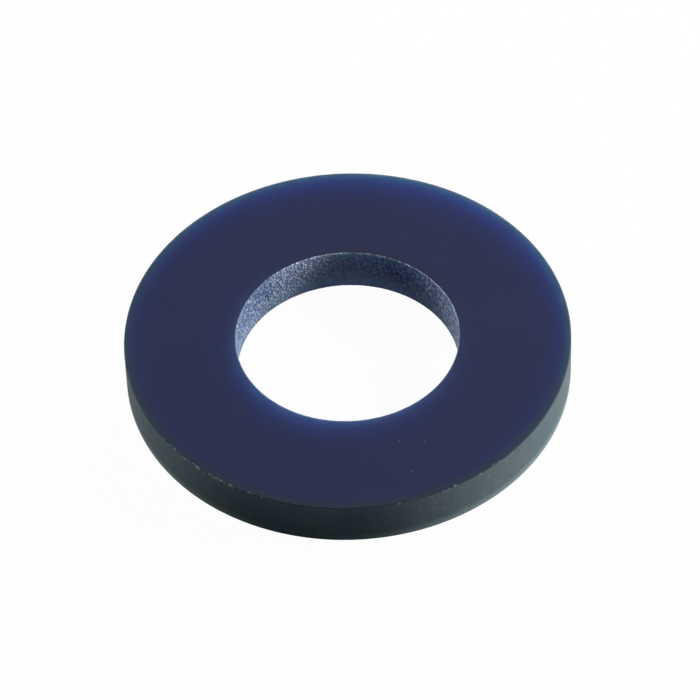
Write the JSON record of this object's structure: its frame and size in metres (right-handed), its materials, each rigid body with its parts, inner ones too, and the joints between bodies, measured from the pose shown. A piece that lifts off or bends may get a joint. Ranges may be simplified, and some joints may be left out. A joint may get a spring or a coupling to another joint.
{
  "type": "flat washer",
  "caption": "Plain flat ring with square, lightly rounded edges and a round bolt hole, cut from dark blue tinted plastic; spreads and insulates a bolt's load.",
  "frame": {"origin": "centre of the bottom seating face, on the hole's axis", "axes": "+Z along the hole's axis, from the seating face towards the bolt's head; X and Y lie in the seating face, and the ring is the same all round"},
  "size_m": [0.0254, 0.0254, 0.0028],
  "materials": {
    "tinted_plastic": "satin, deep blue, lets a little light through near its edges"
  },
  "bodies": {
    "root": {"washer": "tinted_plastic"}
  },
  "joints": []
}
